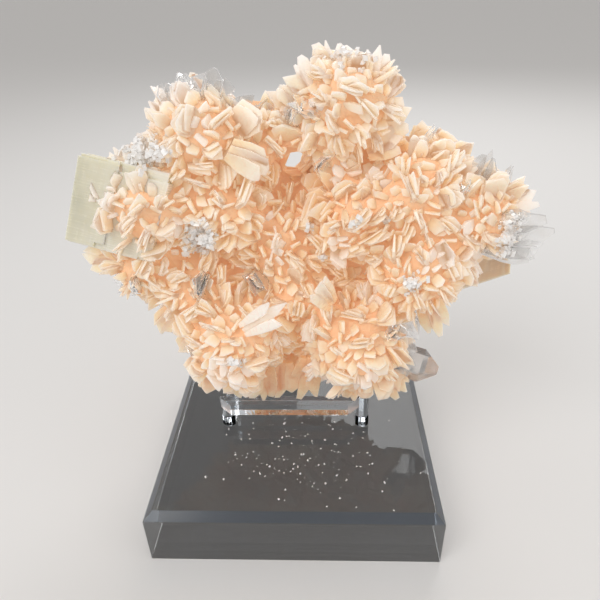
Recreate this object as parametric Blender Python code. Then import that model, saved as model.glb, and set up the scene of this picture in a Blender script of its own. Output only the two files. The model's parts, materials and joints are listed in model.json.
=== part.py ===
# A cluster of radiating blades with calcite crystals, standing on a clear acrylic stand.
# Blender 4.5, metres, +Z up. The origin is the centre of the block's underside, and -Y is the front.

import math
import random

import bmesh
import bpy
from mathutils import Matrix, Vector

MM = 0.001
GAP = 0.3 * MM

# Stand block: clear cast acrylic with a mitred top edge
BLOCK_WIDTH = 90 * MM
BLOCK_DEPTH = 86 * MM
BLOCK_HEIGHT = 20 * MM
BLOCK_MITRE = 2.5 * MM

# Upright rods, pressed into blind holes near the block's back
POST_DIAMETER = 5 * MM
POST_SPACING = 51 * MM
POST_Y = 26.7 * MM
POST_TOP = 98 * MM
HOLE_FLOOR = 2.6 * MM

# Flat arms on the block, from the rods forward, and the ledge bar across them
ARM_WIDTH = 4.6 * MM
ARM_HEIGHT = 4.3 * MM
ARM_SPACING = 46.6 * MM
ARM_MIDDLE_X = -0.6 * MM
ARM_FRONT_Y = -5.2 * MM
LEDGE_LENGTH = 49 * MM
LEDGE_DEPTH = 5 * MM
LEDGE_HEIGHT = 4.4 * MM
LEDGE_X = -2.6 * MM
LEDGE_FRONT_Y = -4.6 * MM
LEDGE_MITRE = 4.2 * MM
ARM_MITRE = 1.2 * MM
POST_MITRE = 0.5 * MM

# Where the specimen's lowest blades stand on the ledge
LEDGE_TOP = BLOCK_HEIGHT + ARM_HEIGHT + LEDGE_HEIGHT + 2 * GAP

# Radiating bursts: centre x, y, z, radius and number of blades, in millimetres
BURSTS = {
    "left_top": (-24.4, 6, 119.5, 16.5, 24),
    "left": (-40.5, 2, 100.5, 17.5, 28),
    "left_low": (-46, 3, 81, 13.5, 20),
    "left_centre": (-20, 4, 99, 15, 22),
    "top_right": (15.8, 8, 126.5, 16.5, 28),
    "right_top": (38, 4, 102.5, 15.6, 26),
    "right": (55, 6, 94, 16, 26),
    "right_low": (38.5, 0, 80, 17, 26),
    "bottom_left": (-19, -1, 56, 20, 34),
    "bottom_right": (19.5, -2, 54, 20, 34),
    "recess": (-3, 16, 84, 21, 30),
    "left_inner": (-31.5, 4, 72, 15.5, 22),
    "right_inner": (20, 5, 94, 16, 25),
    "bridge": (-8, 10, 119, 9, 9),
    "middle": (2, 6, 68, 14, 12),
}
CORE_SHARE = 0.7
BLADE_START = 0.5
BACK_LIMIT = 16 * MM
BURST_SEED = 11

# Backing that ties the bursts together: centre x, y, z and half sizes x, y, z, in millimetres
BACKING = {
    "left": (-27, 14.5, 97, 25, 9, 26),
    "right": (35, 14.5, 92, 27, 9, 25),
    "low": (1, 12, 60, 31, 10, 28),
    "middle": (4, 16, 86.4, 30, 8.5, 20),
    "top": (14, 13, 119, 12, 7, 11),
    "arch": (-6, 12, 122, 20, 5, 6),
    "hole_left": (-5, 8, 113, 4.6, 6, 6),
    "hole_top": (5.4, 8, 116.9, 7, 6, 4.2),
    "hole_right": (12.4, 8, 110.5, 4.6, 6, 5),
    "low_right": (29.5, 7, 68, 8, 6, 7),
}

# Single blades that shape the outline: root x, y, z, tip x, y, z, width and thickness, in millimetres
SINGLE_BLADES = {
    "crest_1": (12.5, 8, 129, 9.4, 8, 142.8, 5.4, 2.2),
    "crest_2": (15.7, 7, 129, 13.8, 7, 142.3, 4.8, 2.2),
    "crest_3": (18.5, 9, 129, 16.9, 9, 140.3, 4.6, 2),
    "crest_4": (20.2, 6, 128, 19.4, 6, 139.9, 4, 2),
    "crest_5": (23.1, 8, 127, 24.1, 8, 140.8, 6.4, 2.4),
    "crest_left": (10.4, 7, 127, 4.2, 7, 139, 6, 2.2),
    "crest_side": (3.5, 8, 126, -2.8, 8, 131.3, 5, 2),
    "crest_gap": (9, 8, 124, 0.3, 8, 134.6, 8, 2.4),
    "crest_right": (24.6, 8, 128, 29.8, 8, 134.8, 6, 2.2),
    "crest_low": (22, 7, 121, 34.2, 7, 123.4, 10, 2.4),
    "crest_under": (22, 6, 114, 31.5, 5, 118, 8, 2.4),
    "peak": (-23, 5, 122, -18.4, 5, 136.6, 10, 2.4),
    "peak_left": (-26.4, 5, 123, -27.8, 5, 134.8, 7, 2.4),
    "peak_side": (-29.4, 6, 123, -33.8, 6, 133.4, 5.6, 2.2),
    "peak_low": (-31.2, 6, 121, -37.2, 6, 129.3, 5, 2.2),
    "peak_right": (-15.6, 8, 120, -10.2, 8, 129.6, 6.6, 2.2),
    "arch_tip": (-6, 11, 117, -6.8, 11, 127.6, 6.4, 2.4),
    "diamond": (-15, -4, 118, -4.7, -4, 112, 8.4, 2.4),
    "frost": (-37.4, 0, 107, -41.5, 0, 120.5, 9, 2.6),
    "frost_low": (-44, 2, 107, -49.6, 2, 117.4, 5, 2.2),
    "stick": (35, 5, 113, 41.2, 5, 121.2, 2.3, 2),
    "shoulder": (38, 4, 107, 42.8, 4, 114.8, 5, 2.2),
    "right_peak": (53, 5, 100, 56.8, 5, 113.8, 7.4, 2.2),
    "right_stick": (61, 5, 99, 62.6, 5, 110, 2.4, 2),
    "right_side": (60, 5, 95, 70.4, 5, 102.4, 7.8, 2.2),
    "far_right": (56, -1, 90, 76, -1, 91, 13, 2.6),
    "right_under": (56, -1, 88, 71.5, -2, 85.4, 8, 2.4),
    "low_right_1": (41, 0, 72, 47.2, 0, 54.9, 8, 2.2),
    "low_right_2": (28.6, -4, 64.5, 38.5, -4, 52.3, 10.3, 2.4),
    "low_right_3": (26, -4, 50, 36.4, -4, 36.6, 10.4, 2.6),
    "low_right_4": (27, -2.5, 46, 37.4, -2.5, 33, 9, 2.4),
    "low_4": (19.8, -2.5, 46, 22.4, -2.5, 29.8, 9.5, 2.6),
    "low_5": (5.1, -2.5, 48, 1.4, -2.5, 30, 9.5, 2.6),
    "low_6": (-9.9, -2.5, 46, -11.6, -2.5, 29.9, 9, 2.6),
    "low_left_1": (-23.9, -3, 49.8, -30.6, -3, 36, 8, 2.4),
    "low_left_2": (-32, -2, 59, -37.4, -2, 49, 7.5, 2.4),
    "low_left_3": (-37, 0, 67, -45, 0, 57.5, 7.5, 2.4),
    "low_left_8": (-35, 2, 77, -46.6, 1, 67, 9.5, 2.4),
    "low_left_4": (-47, 2, 79, -55.8, 2, 71, 7, 2.2),
    "low_left_5": (-50, 2, 84.5, -65, 2, 83.4, 9, 2.4),
    "low_left_6": (-29, 3, 62, -41.5, 3, 54.4, 7.5, 2.4),
    "low_left_7": (-23, 0, 55, -36.2, 0, 45.2, 8.5, 2.4),
    "low_7": (-4, -1.5, 46, -4.8, -1.5, 31, 9, 2.6),
    "low_8": (-17, -1.5, 46, -21, -1.5, 31, 9, 2.4),
    "low_right_0": (33, 4, 68, 40.5, 4, 53.5, 9, 2.4),
    "front_left": (-14, -12, 66, -1, -21, 79, 6.5, 2.4),
    "front_right": (12, -8, 72, 8, -19, 84, 6.5, 2.4),
}

# Calcite rhombs: the nearest corner and the three edges that leave it, in millimetres
RHOMB_LEFT = ((-56.3, -2, 117.2), (26, -6, -4.5), (-10.3, 0, -26), (0.3, 15, -6))
RHOMB_RIGHT = ((68, 5, 74.6), (-19, 3, -9.4), (-1.5, 1, 15), (-2, 12, 2))
RHOMB_CHIP = 0.08

# Clear square crystal with a pointed end: middle, direction, half width and lengths, in millimetres
CLEAR_MIDDLE = (37.4, 1, 44)
CLEAR_DIRECTION = (0.94, -0.3, -0.15)
CLEAR_HALF_WIDTH = 6.2
CLEAR_SHAFT = 10
CLEAR_POINT = 5.5
CLEAR_TIP_SHARE = 0.25
CLEAR_ROLL = math.radians(32)

for old in list(bpy.data.objects):
    bpy.data.objects.remove(old)

model = bpy.data.collections.new("calcite_cluster")
cutters = bpy.data.collections.new("cutters")
bpy.context.scene.collection.children.link(model)
bpy.context.scene.collection.children.link(cutters)


def material(name, colour, roughness, transmission=0.0):
    made = bpy.data.materials.new(name)
    made.use_nodes = True
    shader = made.node_tree.nodes["Principled BSDF"]
    shader.inputs["Base Color"].default_value = (*colour, 1)
    shader.inputs["Roughness"].default_value = roughness
    shader.inputs["Metallic"].default_value = 0
    shader.inputs["Transmission Weight"].default_value = transmission
    return made


def add_object(name, bm, look=None, collection=model, place=(0, 0, 0)):
    bm.normal_update()
    bmesh.ops.recalc_face_normals(bm, faces=bm.faces)
    mesh = bpy.data.meshes.new(name)
    bm.to_mesh(mesh)
    bm.free()
    made = bpy.data.objects.new(name, mesh)
    made.location = place
    collection.objects.link(made)
    if look:
        mesh.materials.append(look)
    else:
        made.hide_render = True
        made.display_type = "WIRE"
    return made


def boolean(target, operation, operand=None, group=None):
    step = target.modifiers.new(operation.lower(), "BOOLEAN")
    step.operation = operation
    step.solver = "EXACT"
    if group:
        step.operand_type = "COLLECTION"
        step.collection = group
    else:
        step.object = operand


def bake(target):
    graph = bpy.context.evaluated_depsgraph_get()
    mesh = bpy.data.meshes.new_from_object(target.evaluated_get(graph))
    target.modifiers.clear()
    target.data = mesh


def box(size):
    bm = bmesh.new()
    bmesh.ops.create_cube(bm, size=1)
    bmesh.ops.scale(bm, vec=size, verts=bm.verts)
    return bm


def rod(diameter, length, sides=24):
    # An upright rod that stands on its origin
    bm = bmesh.new()
    radius = diameter / 2
    bmesh.ops.create_cone(bm, cap_ends=True, segments=sides, radius1=radius, radius2=radius, depth=length)
    bmesh.ops.translate(bm, vec=(0, 0, length / 2), verts=bm.verts)
    return bm


def mitre(bm, edges, width):
    # A flat 45 degree cut along the edges
    bmesh.ops.bevel(bm, geom=edges, offset=width, segments=1, profile=0.5, affect="EDGES")


def stand_block():
    bm = box((BLOCK_WIDTH, BLOCK_DEPTH, BLOCK_HEIGHT))
    bmesh.ops.translate(bm, vec=(0, 0, BLOCK_HEIGHT / 2), verts=bm.verts)
    mitre(bm, [e for e in bm.edges if all(v.co.z > BLOCK_HEIGHT / 2 for v in e.verts)], BLOCK_MITRE)
    block = add_object("stand_block", bm, material("clear_block", (0.92, 0.95, 0.97), 0.03, 1))
    for side in (-1, 1):
        hole = rod(POST_DIAMETER + 2 * GAP, BLOCK_HEIGHT)
        place = (side * POST_SPACING / 2, POST_Y, HOLE_FLOOR)
        boolean(block, "DIFFERENCE", add_object(f"hole_{side}", hole, collection=cutters, place=place))
    return block


def post(name, side):
    length = POST_TOP - HOLE_FLOOR - GAP
    bm = rod(POST_DIAMETER, length)
    mitre(bm, [e for e in bm.edges if all(v.co.z > length / 2 for v in e.verts)], POST_MITRE)
    look = material(name + "_look", (0.92, 0.95, 0.97), 0.03, 1)
    made = add_object(name, bm, look, place=(side * POST_SPACING / 2, POST_Y, HOLE_FLOOR + GAP))
    made.data.shade_smooth()
    made.data.set_sharp_from_angle(angle=math.radians(30))
    return made


def front_uprights(bm):
    # The two upright edges on the front of a box
    front = [e for e in bm.edges if all(v.co.y < 0 for v in e.verts)]
    return [e for e in front if abs(e.verts[0].co.x - e.verts[1].co.x) < GAP]


def arm(name, side):
    back = POST_Y - POST_DIAMETER / 2 - GAP
    bm = box((ARM_WIDTH, back - ARM_FRONT_Y, ARM_HEIGHT))
    mitre(bm, front_uprights(bm), ARM_MITRE)
    x = ARM_MIDDLE_X + side * ARM_SPACING / 2
    z = BLOCK_HEIGHT + GAP + ARM_HEIGHT / 2
    look = material(name + "_look", (0.92, 0.95, 0.97), 0.04, 1)
    return add_object(name, bm, look, place=(x, (back + ARM_FRONT_Y) / 2, z))


def ledge_bar():
    bm = box((LEDGE_LENGTH, LEDGE_DEPTH, LEDGE_HEIGHT))
    mitre(bm, front_uprights(bm), LEDGE_MITRE)
    z = LEDGE_TOP - LEDGE_HEIGHT / 2
    look = material("ledge_look", (0.9, 0.93, 0.96), 0.1, 1)
    return add_object("ledge_bar", bm, look, place=(LEDGE_X, LEDGE_FRONT_Y + LEDGE_DEPTH / 2, z))


def blade(root, tip, width, thickness, roll):
    # A flat crystal that widens from its root to a shoulder and closes in a chisel tip
    axis = tip - root
    length = axis.length
    bm = bmesh.new()
    bmesh.ops.create_cube(bm, size=1)
    bmesh.ops.scale(bm, vec=(width, thickness, length * 0.8), verts=bm.verts)
    bmesh.ops.translate(bm, vec=(0, 0, length * 0.4), verts=bm.verts)
    low = [v for v in bm.verts if v.co.z < length * 0.1]
    bmesh.ops.scale(bm, vec=(0.62, 0.8, 1), verts=low)
    end = max(bm.faces, key=lambda f: f.calc_center_median().z)
    grown = bmesh.ops.extrude_face_region(bm, geom=[end])
    bmesh.ops.delete(bm, geom=[end], context="FACES_ONLY")
    tips = [g for g in grown["geom"] if isinstance(g, bmesh.types.BMVert)]
    bmesh.ops.translate(bm, vec=(0, 0, length * 0.2), verts=tips)
    bmesh.ops.scale(bm, vec=(0.42, 0.55, 1), verts=tips)
    turn = axis.to_track_quat("Z", "Y").to_matrix() @ Matrix.Rotation(roll, 3, "Z")
    bm.transform(Matrix.Translation(root) @ turn.to_4x4())
    return bm


def lump(middle, radii, seed, rough, fineness):
    # A rounded core with uneven facets
    bm = bmesh.new()
    bmesh.ops.create_icosphere(bm, subdivisions=fineness, radius=1)
    chance = random.Random(seed)
    for v in bm.verts:
        v.co *= 1 + chance.uniform(-rough, rough)
    bmesh.ops.scale(bm, vec=radii, verts=bm.verts)
    bmesh.ops.translate(bm, vec=middle, verts=bm.verts)
    return bm


def burst_directions(count, turn):
    # Even directions over a sphere, along a spiral
    golden = math.pi * (3 - math.sqrt(5))
    for i in range(count):
        z = 1 - 2 * (i + 0.5) / count
        ring = math.sqrt(1 - z * z)
        yield Vector((ring * math.cos(golden * i + turn), ring * math.sin(golden * i + turn), z))


def inside_other_burst(point, own):
    return any(
        name != own and (point - Vector(row[:3]) * MM).length < row[3] * MM * 0.95
        for name, row in BURSTS.items()
    )


def burst_blades():
    for number, (name, row) in enumerate(BURSTS.items()):
        middle = Vector(row[:3]) * MM
        radius = row[3] * MM
        chance = random.Random(BURST_SEED + number)
        for way in burst_directions(row[4], chance.uniform(0, math.tau)):
            lean = Vector([chance.uniform(-0.22, 0.22) for _ in range(3)])
            way = (way + lean).normalized()
            reach = radius * chance.uniform(0.92, 1.06)
            width = radius * chance.uniform(0.34, 0.5)
            thickness = chance.uniform(1.9, 2.6) * MM
            roll = chance.uniform(0, math.pi)
            tip = middle + way * reach
            if inside_other_burst(tip, name) or tip.y > BACK_LIMIT or tip.z < LEDGE_TOP + 3 * GAP:
                continue
            yield blade(middle + way * radius * BLADE_START, tip, width, thickness, roll)


def single_blades():
    for number, row in enumerate(SINGLE_BLADES.values()):
        root = Vector(row[0:3]) * MM
        tip = Vector(row[3:6]) * MM
        tip.z = max(tip.z, LEDGE_TOP + GAP)
        facing = math.radians(((number * 37) % 50) - 25)
        yield blade(root, tip, row[6] * MM, row[7] * MM, turn_to_front(root, tip) + facing)


def turn_to_front(root, tip):
    # The roll that turns a blade's flat side to the front
    turn = (tip - root).to_track_quat("Z", "Y").to_matrix()
    side = turn.inverted() @ Vector((0, -1, 0))
    return math.atan2(side.y, side.x) - math.pi / 2


def keep_largest(target):
    # Chips that a cut sets free are dropped, and so are closed pockets inside
    bm = bmesh.new()
    bm.from_mesh(target.data)
    bmesh.ops.remove_doubles(bm, verts=bm.verts, dist=0.01 * MM)
    bmesh.ops.dissolve_degenerate(bm, edges=bm.edges, dist=0.01 * MM)
    left = set(bm.verts)
    groups = []
    while left:
        queue = [left.pop()]
        group = set(queue)
        while queue:
            for edge in queue.pop().link_edges:
                for v in edge.verts:
                    if v in left:
                        left.discard(v)
                        group.add(v)
                        queue.append(v)
        groups.append(group)
    groups.sort(key=len)
    for group in groups[:-1]:
        bmesh.ops.delete(bm, geom=list(group), context="VERTS")
    bm.to_mesh(target.data)
    bm.free()


def blade_cluster():
    growth = bpy.data.collections.new("growth")
    cutters.children.link(growth)
    for number, (name, row) in enumerate(BURSTS.items()):
        core = row[3] * MM * CORE_SHARE
        bm = lump(Vector(row[:3]) * MM, (core, core, core), number, 0.07, 1)
        add_object("core_" + name, bm, collection=growth)
    for number, (name, row) in enumerate(BACKING.items()):
        fineness = 2 if row[3] > 10 else 1
        bm = lump(Vector(row[:3]) * MM, Vector(row[3:]) * MM, 50 + number, 0.07, fineness)
        add_object("backing_" + name, bm, collection=growth)
    for number, bm in enumerate(burst_blades()):
        add_object(f"blade_{number}", bm, collection=growth)
    for number, bm in enumerate(single_blades()):
        add_object(f"single_{number}", bm, collection=growth)
    first = growth.objects[0]
    growth.objects.unlink(first)
    model.objects.link(first)
    first.name = "blade_cluster"
    first.hide_render = False
    first.display_type = "TEXTURED"
    first.data.materials.append(material("peach_blades", (0.93, 0.68, 0.47), 0.35))
    boolean(first, "UNION", group=growth)
    for seat in seats():
        boolean(first, "DIFFERENCE", seat)
    bake(first)
    keep_largest(first)
    return first


def rhomb(row, grow=0.0):
    edges = [Vector(e) * MM for e in row[1:]]
    wider = [e * (1 + 2.4 * grow / e.length) for e in edges]
    bm = bmesh.new()
    bmesh.ops.create_cube(bm, size=1)
    if row is RHOMB_LEFT:
        mitre(bm, [e for e in bm.edges if all(v.co.y < 0 and v.co.z < 0 for v in e.verts)], RHOMB_CHIP)
    bm.transform(Matrix(wider).transposed().to_4x4())
    return bm


def rhomb_middle(row):
    return sum((Vector(e) / 2 for e in row[1:]), Vector(row[0])) * MM


def clear_crystal(grow=0.0):
    half = (CLEAR_HALF_WIDTH * MM + grow) / math.sqrt(2)
    bm = box((2 * half, 2 * half, CLEAR_SHAFT * MM + 2 * grow))
    end = max(bm.faces, key=lambda f: f.calc_center_median().z)
    grown = bmesh.ops.extrude_face_region(bm, geom=[end])
    bmesh.ops.delete(bm, geom=[end], context="FACES_ONLY")
    tips = [g for g in grown["geom"] if isinstance(g, bmesh.types.BMVert)]
    bmesh.ops.translate(bm, vec=(0, 0, CLEAR_POINT * MM), verts=tips)
    bmesh.ops.scale(bm, vec=(CLEAR_TIP_SHARE, CLEAR_TIP_SHARE, 1), verts=tips)
    turn = Vector(CLEAR_DIRECTION).to_track_quat("Z", "Y").to_matrix() @ Matrix.Rotation(CLEAR_ROLL, 3, "Z")
    bm.transform(turn.to_4x4())
    return bm


def seats():
    # What the cluster is cut back from, each a little larger than the piece it holds
    clear_place = Vector(CLEAR_MIDDLE) * MM
    for name, row in (("seat_left", RHOMB_LEFT), ("seat_right", RHOMB_RIGHT)):
        yield add_object(name, rhomb(row, GAP), collection=cutters, place=rhomb_middle(row))
    yield add_object("seat_clear", clear_crystal(GAP), collection=cutters, place=clear_place)
    for side in (-1, 1):
        bm = rod(POST_DIAMETER + 2 * GAP, POST_TOP + GAP, sides=12)
        place = (side * POST_SPACING / 2, POST_Y, 0)
        yield add_object(f"seat_post_{side}", bm, collection=cutters, place=place)
    under = box((LEDGE_LENGTH + 2 * GAP, LEDGE_DEPTH + 2 * GAP, LEDGE_TOP))
    place = (LEDGE_X, LEDGE_FRONT_Y + LEDGE_DEPTH / 2, LEDGE_TOP / 2 + GAP)
    yield add_object("seat_ledge", under, collection=cutters, place=place)


stand_block()
post("post_left", -1)
post("post_right", 1)
arm("arm_left", -1)
arm("arm_right", 1)
ledge_bar()
pale = material("pale_calcite", (0.86, 0.84, 0.62), 0.2)
tan = material("tan_calcite", (0.88, 0.7, 0.46), 0.25)
clear = material("clear_glass", (0.9, 0.92, 0.94), 0.05, 1)
add_object("calcite_rhomb_left", rhomb(RHOMB_LEFT), pale, place=rhomb_middle(RHOMB_LEFT))
add_object("calcite_rhomb_right", rhomb(RHOMB_RIGHT), tan, place=rhomb_middle(RHOMB_RIGHT))
add_object("clear_crystal", clear_crystal(), clear, place=Vector(CLEAR_MIDDLE) * MM)
blade_cluster()
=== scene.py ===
import json
import math
import random

import bmesh
import bpy
from mathutils import Matrix, Vector, noise
from mathutils.bvhtree import BVHTree

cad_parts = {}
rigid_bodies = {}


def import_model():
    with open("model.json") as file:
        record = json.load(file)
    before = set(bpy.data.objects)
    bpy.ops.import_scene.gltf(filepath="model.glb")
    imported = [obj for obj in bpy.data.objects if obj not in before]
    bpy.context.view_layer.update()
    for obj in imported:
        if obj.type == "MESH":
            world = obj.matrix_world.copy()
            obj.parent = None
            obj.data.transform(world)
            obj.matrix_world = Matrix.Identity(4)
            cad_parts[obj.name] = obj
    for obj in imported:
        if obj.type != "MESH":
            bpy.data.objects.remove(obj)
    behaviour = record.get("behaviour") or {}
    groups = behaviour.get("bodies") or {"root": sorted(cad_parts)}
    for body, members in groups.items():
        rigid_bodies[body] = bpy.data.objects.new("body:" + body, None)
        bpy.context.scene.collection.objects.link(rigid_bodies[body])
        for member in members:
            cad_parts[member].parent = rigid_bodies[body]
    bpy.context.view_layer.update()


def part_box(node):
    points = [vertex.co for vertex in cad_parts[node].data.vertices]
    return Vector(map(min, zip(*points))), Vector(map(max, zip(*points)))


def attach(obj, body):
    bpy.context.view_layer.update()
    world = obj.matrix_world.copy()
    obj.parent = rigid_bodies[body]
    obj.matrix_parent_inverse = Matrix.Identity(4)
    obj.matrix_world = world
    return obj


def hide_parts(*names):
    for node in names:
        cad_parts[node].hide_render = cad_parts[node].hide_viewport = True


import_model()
scene = bpy.context.scene
MM = 0.001


# Stand block: one square slab of cast acrylic with polished sides, a mitred top edge and two
# blind holes for the rods. Fine dust lies on its top.
BLOCK_MITRE = 2.5
BLOCK_ARRIS = 0.12
HOLE_RADIUS = 2.65
HOLE_FLOOR = 2.6
DRILL_LENGTH = 60
ROUND_SIDES = 64
ACRYLIC_TINT = (0.93, 0.965, 1, 1)
ACRYLIC_IOR = 1.49
ACRYLIC_POLISH = 0.01
ACRYLIC_ALPHA = 0.9
DUST_SCALE = 620
DUST_SIZE = 0.16
DUST_SHARE = 0.035
DUST_ROUGHNESS = 0.9
FACING_UP = 0.95
# Blue tint on the mitre only: a painted reflection
PAINTED_MITRE_REFLECTION_TINT = (0.55, 0.72, 1, 1)
SATIN_ROUGHNESS = 0.16
MITRE_FACING = (0.3, 0.9)
MITRE_AREA = 20


def new_material(name):
    made = bpy.data.materials.new(name)
    made.use_nodes = True
    return made, made.node_tree.nodes, made.node_tree.links, made.node_tree.nodes["Principled BSDF"]


def maths(nodes, links, operation, first, second, third=None):
    made = nodes.new("ShaderNodeMath")
    made.operation = operation
    for socket, value in zip(made.inputs, (first, second, third)):
        if value is None:
            continue
        if isinstance(value, (int, float)):
            socket.default_value = value
        else:
            links.new(value, socket)
    return made.outputs[0]


def dress(piece, look, slot, *replaced):
    piece.data.materials.clear()
    piece.data.materials.append(look)
    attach(piece, "root")
    if replaced:
        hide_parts(*replaced)


def add_piece(name, bm, look, slot, *replaced):
    bm.normal_update()
    mesh = bpy.data.meshes.new(name)
    bm.to_mesh(mesh)
    bm.free()
    made = bpy.data.objects.new(name, mesh)
    scene.collection.objects.link(made)
    dress(made, look, slot, *replaced)
    return made


def box_between(low, high):
    bm = bmesh.new()
    bmesh.ops.create_cube(bm, size=1)
    bmesh.ops.scale(bm, vec=high - low, verts=bm.verts)
    bmesh.ops.translate(bm, vec=(low + high) / 2, verts=bm.verts)
    return bm


def round_bar(radius, length, middle):
    bm = bmesh.new()
    bmesh.ops.create_cone(
        bm, cap_ends=True, segments=ROUND_SIDES, radius1=radius, radius2=radius, depth=length
    )
    bmesh.ops.translate(bm, vec=middle, verts=bm.verts)
    return bm


def soften(bm, width, segments):
    edges = list(bm.edges)
    bmesh.ops.bevel(
        bm, geom=edges, offset=width, segments=segments, profile=0.7, affect="EDGES", clamp_overlap=True
    )


def bake(piece):
    # What the modifiers make becomes the piece's own mesh
    baked = bpy.data.meshes.new_from_object(piece.evaluated_get(bpy.context.evaluated_depsgraph_get()))
    piece.modifiers.clear()
    piece.data = baked


def clear_acrylic(name, roughness, tint=ACRYLIC_TINT):
    made, _, _, shader = new_material(name)
    shader.inputs["Base Color"].default_value = tint
    shader.inputs["Transmission Weight"].default_value = 1
    shader.inputs["IOR"].default_value = ACRYLIC_IOR
    shader.inputs["Roughness"].default_value = roughness
    return made


def dusty_acrylic():
    # Matt specks in a few of the cells, on faces that look upward
    made = clear_acrylic("dusty_acrylic", ACRYLIC_POLISH)
    nodes, links = made.node_tree.nodes, made.node_tree.links
    shader = nodes["Principled BSDF"]
    shader.inputs["Alpha"].default_value = ACRYLIC_ALPHA
    cells = nodes.new("ShaderNodeTexVoronoi")
    cells.inputs["Scale"].default_value = DUST_SCALE
    links.new(nodes.new("ShaderNodeTexCoord").outputs["Object"], cells.inputs["Vector"])
    split = nodes.new("ShaderNodeSeparateXYZ")
    links.new(nodes.new("ShaderNodeNewGeometry").outputs["Normal"], split.inputs["Vector"])
    near = maths(nodes, links, "LESS_THAN", cells.outputs["Distance"], DUST_SIZE)
    few = maths(nodes, links, "LESS_THAN", cells.outputs["Color"], DUST_SHARE)
    upward = maths(nodes, links, "GREATER_THAN", split.outputs["Z"], FACING_UP)
    dust = maths(nodes, links, "MULTIPLY", maths(nodes, links, "MULTIPLY", near, few), upward)
    gloss = maths(nodes, links, "MULTIPLY_ADD", dust, DUST_ROUGHNESS, ACRYLIC_POLISH)
    links.new(gloss, shader.inputs["Roughness"])
    return made


def stand_block():
    low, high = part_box("stand_block")
    bm = box_between(low, high)
    top = [e for e in bm.edges if all(v.co.z > high.z - MM for v in e.verts)]
    bmesh.ops.bevel(bm, geom=top, offset=BLOCK_MITRE * MM, segments=1, profile=0.5, affect="EDGES")
    soften(bm, BLOCK_ARRIS * MM, 1)
    return add_piece("polished_block", bm, dusty_acrylic(), "clear_acrylic", "stand_block")


def drill(block, node):
    low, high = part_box(node)
    middle = (low + high) / 2
    middle.z = (HOLE_FLOOR + DRILL_LENGTH / 2) * MM
    bm = round_bar(HOLE_RADIUS * MM, DRILL_LENGTH * MM, middle)
    mesh = bpy.data.meshes.new("drill")
    bm.to_mesh(mesh)
    bm.free()
    bit = bpy.data.objects.new("drill", mesh)
    scene.collection.objects.link(bit)
    cut = block.modifiers.new("hole", "BOOLEAN")
    cut.operation = "DIFFERENCE"
    cut.solver = "EXACT"
    cut.object = bit
    bake(block)
    bpy.data.objects.remove(bit)


block = stand_block()
for node in ("post_left", "post_right"):
    drill(block, node)
# The mitre is the only large face that slants, and it is left satin, with a painted blue reflection in its
# tint
block.data.materials.append(clear_acrylic("satin_mitre_painted_reflection", SATIN_ROUGHNESS, PAINTED_MITRE_REFLECTION_TINT))
for face in block.data.polygons:
    if MITRE_FACING[0] < face.normal.z < MITRE_FACING[1] and face.area > MITRE_AREA * MM * MM:
        face.material_index = 1


# Upright rods: round cast acrylic rod, cut square with a small mitre on each rim and pressed
# into the block's holes. The specimen leans back on them.
ROD_MITRE = 0.4
ROD_ROUGHNESS = 0.015
ROD_SHARP_ANGLE = 35
LEVEL_WITHIN = 1e-6


def rod(name, node):
    low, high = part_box(node)
    bm = round_bar((high.x - low.x) / 2, high.z - low.z, (low + high) / 2)
    rims = [e for e in bm.edges if abs(e.verts[0].co.z - e.verts[1].co.z) < LEVEL_WITHIN]
    bmesh.ops.bevel(bm, geom=rims, offset=ROD_MITRE * MM, segments=2, profile=0.6, affect="EDGES")
    made = add_piece(name, bm, clear_acrylic(name + "_acrylic", ROD_ROUGHNESS), "clear_acrylic", node)
    made.data.shade_smooth()
    made.data.set_sharp_from_angle(angle=math.radians(ROD_SHARP_ANGLE))


rod("rod_left", "post_left")
rod("rod_right", "post_right")


# Flat arms and the ledge bar: sawn acrylic strip. The arms are glued to the block in front of
# the rods, and the bar lies across them with its slanting ends left matt from the saw.
ARM_MITRE = 1.2
ARM_ROUGHNESS = 0.02
LEDGE_MITRE = 4.2
LEDGE_ROUGHNESS = 0.03
STRIP_ARRIS = 0.15
EDGE_WITHIN = 0.1
SAWN_FACING = 0.5
SAWN_TINT = (0.95, 0.96, 0.98, 1)
SAWN_TRANSMISSION = 0.75
SAWN_ROUGHNESS = 0.55
SAW_GRAIN = 2600


def strip(name, node, mitre, roughness, slot):
    low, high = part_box(node)
    bm = box_between(low, high)
    front = [e for e in bm.edges if all(v.co.y < low.y + EDGE_WITHIN * MM for v in e.verts)]
    upright = [e for e in front if abs(e.verts[0].co.x - e.verts[1].co.x) < EDGE_WITHIN * MM]
    bmesh.ops.bevel(bm, geom=upright, offset=mitre * MM, segments=1, profile=0.5, affect="EDGES")
    soften(bm, STRIP_ARRIS * MM, 2)
    return add_piece(name, bm, clear_acrylic(name + "_acrylic", roughness), slot, node)


def cloud(nodes, links, scale, detail=3, vector=None):
    made = nodes.new("ShaderNodeTexNoise")
    made.inputs["Scale"].default_value = scale
    made.inputs["Detail"].default_value = detail
    if vector is None:
        vector = nodes.new("ShaderNodeTexCoord").outputs["Object"]
    links.new(vector, made.inputs["Vector"])
    return made.outputs["Fac"]


def bumpy(nodes, links, shader, height, strength, depth):
    made = nodes.new("ShaderNodeBump")
    made.inputs["Strength"].default_value = strength
    made.inputs["Distance"].default_value = depth * MM
    links.new(height, made.inputs["Height"])
    links.new(made.outputs["Normal"], shader.inputs["Normal"])


def sawn_acrylic():
    made, nodes, links, shader = new_material("sawn_acrylic")
    shader.inputs["Base Color"].default_value = SAWN_TINT
    shader.inputs["Transmission Weight"].default_value = SAWN_TRANSMISSION
    shader.inputs["IOR"].default_value = ACRYLIC_IOR
    shader.inputs["Roughness"].default_value = SAWN_ROUGHNESS
    bumpy(nodes, links, shader, cloud(nodes, links, SAW_GRAIN, 2), 0.35, 0.05)
    return made


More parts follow.
